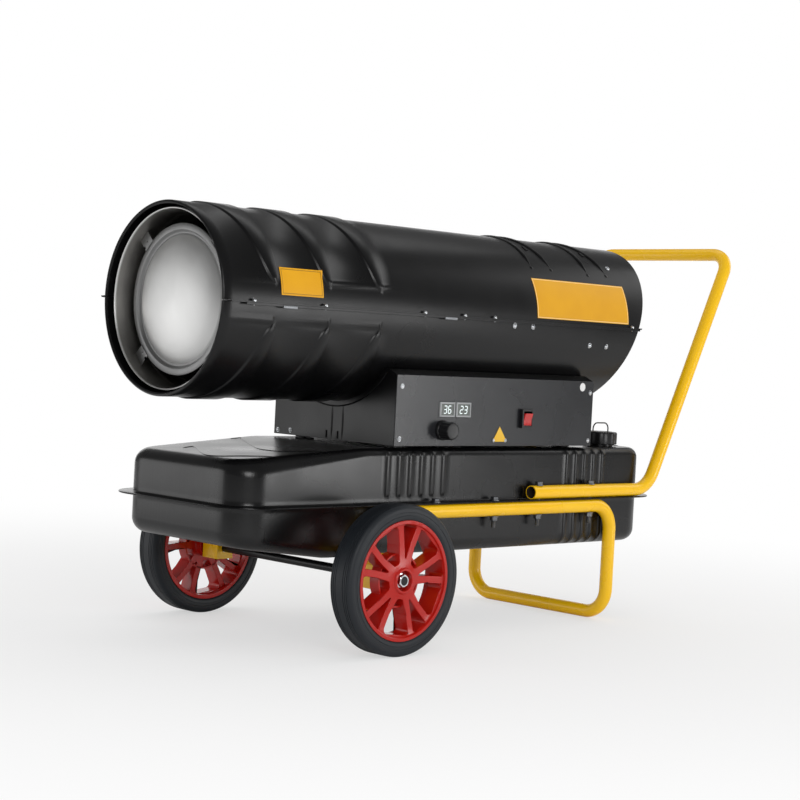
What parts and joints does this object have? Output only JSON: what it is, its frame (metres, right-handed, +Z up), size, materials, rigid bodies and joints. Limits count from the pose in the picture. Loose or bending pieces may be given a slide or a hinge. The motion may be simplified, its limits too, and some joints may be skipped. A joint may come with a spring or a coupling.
{
  "type": "diesel air heater",
  "caption": "Torpedo-shaped diesel air heater: a round drum with burner and fan on a long fuel tank, with wheels, a stand and a bent tube push handle.",
  "frame": {"origin": "on the ground in the middle of the overall length and width", "axes": "+X from the warm air outlet to the push handle, +Y away from the control panel, +Z up"},
  "size_m": [1.3159, 0.5628, 0.7413],
  "materials": {
    "black_paint": "satin black powder coat",
    "grey_paint": "fine-textured dark grey coat",
    "yellow_paint": "glossy yellow powder coat",
    "stainless": "matt heat-proof sheet",
    "zinc": "bright zinc plating",
    "chrome": "polished",
    "brass": "machined",
    "alloy": "as cast",
    "red_plastic": "moulded, glossy",
    "tyre": "matt rubber",
    "black_plastic": "moulded, satin",
    "soft_rubber": "matt",
    "display": "glossy window",
    "red_lens": "translucent, glossy",
    "ceramic": "glazed",
    "circuit": "lacquered laminate",
    "fuel_line": "matt hose"
  },
  "bodies": {
    "chassis": {"air_hose": "fuel_line", "air_pump_body": "alloy", "air_pump_cover": "zinc", "axle": "black_paint", "axle_bracket_far": "yellow_paint", "axle_bracket_near": "yellow_paint", "axle_nut_far": "chrome", "axle_nut_near": "chrome", "burner_head": "zinc", "cable_gland": "black_plastic", "chamber_spacer_front": "zinc", "chamber_spacer_rear": "zinc", "combustion_chamber": "stainless", "control_board": "circuit", "control_box": "black_paint", "control_panel": "grey_paint", "display_left": "display", "display_right": "display", "drain_plug": "zinc", "fan_motor": "alloy", "filler_neck": "black_paint", "filler_strainer": "zinc", "flame_sensor": "ceramic", "frame_bolt_1": "zinc", "frame_bolt_2": "zinc", "frame_bolt_3": "zinc", "frame_bolt_4": "zinc", "frame_bolt_5": "zinc", "frame_bolt_6": "zinc", "frame_bolt_7": "zinc", "frame_bolt_8": "zinc", "fuel_hose": "fuel_line", "fuel_nozzle": "brass", "fuel_pickup": "zinc", "fuel_tank_lower": "black_paint", "fuel_tank_upper": "black_paint", "handle_tube": "yellow_paint", "heat_deflector": "stainless", "ignition_transformer": "black_plastic", "lower_casing": "black_paint", "motor_bracket": "zinc", "rear_guard": "black_paint", "spark_electrode": "ceramic", "stand_tube": "yellow_paint", "switch_bezel": "black_plastic", "thermostat": "zinc", "upper_casing": "black_paint"},
    "wheel_near": {"tyre_near": "tyre", "rim_near": "red_plastic"},
    "wheel_far": {"tyre_far": "tyre", "rim_far": "red_plastic"},
    "fan_rotor": {"fan": "alloy", "motor_shaft": "chrome", "pump_rotor": "ceramic"},
    "thermostat_dial": {"thermostat_knob": "black_plastic"},
    "switch_rocker": {"rocker_switch": "red_lens"},
    "cap_seal": {"cap_gasket": "soft_rubber"},
    "fuel_cap": {"filler_cap": "black_plastic", "cap_bail": "black_paint"}
  },
  "joints": [
    {"name": "wheel_near_spin", "type": "hinge", "parent": "chassis", "child": "wheel_near", "pos_m": [-0.34925, -0.2569, 0.125], "axis": [0, 1, 0], "continuous": true},
    {"name": "wheel_far_spin", "type": "hinge", "parent": "chassis", "child": "wheel_far", "pos_m": [-0.34925, 0.2569, 0.125], "axis": [0, 1, 0], "continuous": true},
    {"name": "fan_spin", "type": "hinge", "parent": "chassis", "child": "fan_rotor", "pos_m": [0.05575, 0, 0.5645], "axis": [1, 0, 0], "continuous": true},
    {"name": "thermostat_turn", "type": "hinge", "parent": "chassis", "child": "thermostat_dial", "pos_m": [-0.15675, -0.1593, 0.364], "axis": [0, -1, 0], "range_deg": [-135, 135]},
    {"name": "switch_rock", "type": "hinge", "parent": "chassis", "child": "switch_rocker", "pos_m": [0.05875, -0.1601, 0.3865], "axis": [1, 0, 0], "range_deg": [-18, 0]},
    {"name": "cap_lift", "type": "slide", "parent": "chassis", "child": "cap_seal", "axis": [0, 0, 1], "range_m": [0, 0.06]},
    {"name": "cap_turn", "type": "hinge", "parent": "cap_seal", "child": "fuel_cap", "pos_m": [0.35075, -0.1, 0.332], "axis": [0, 0, 1], "range_deg": [0, 90]}
  ]
}
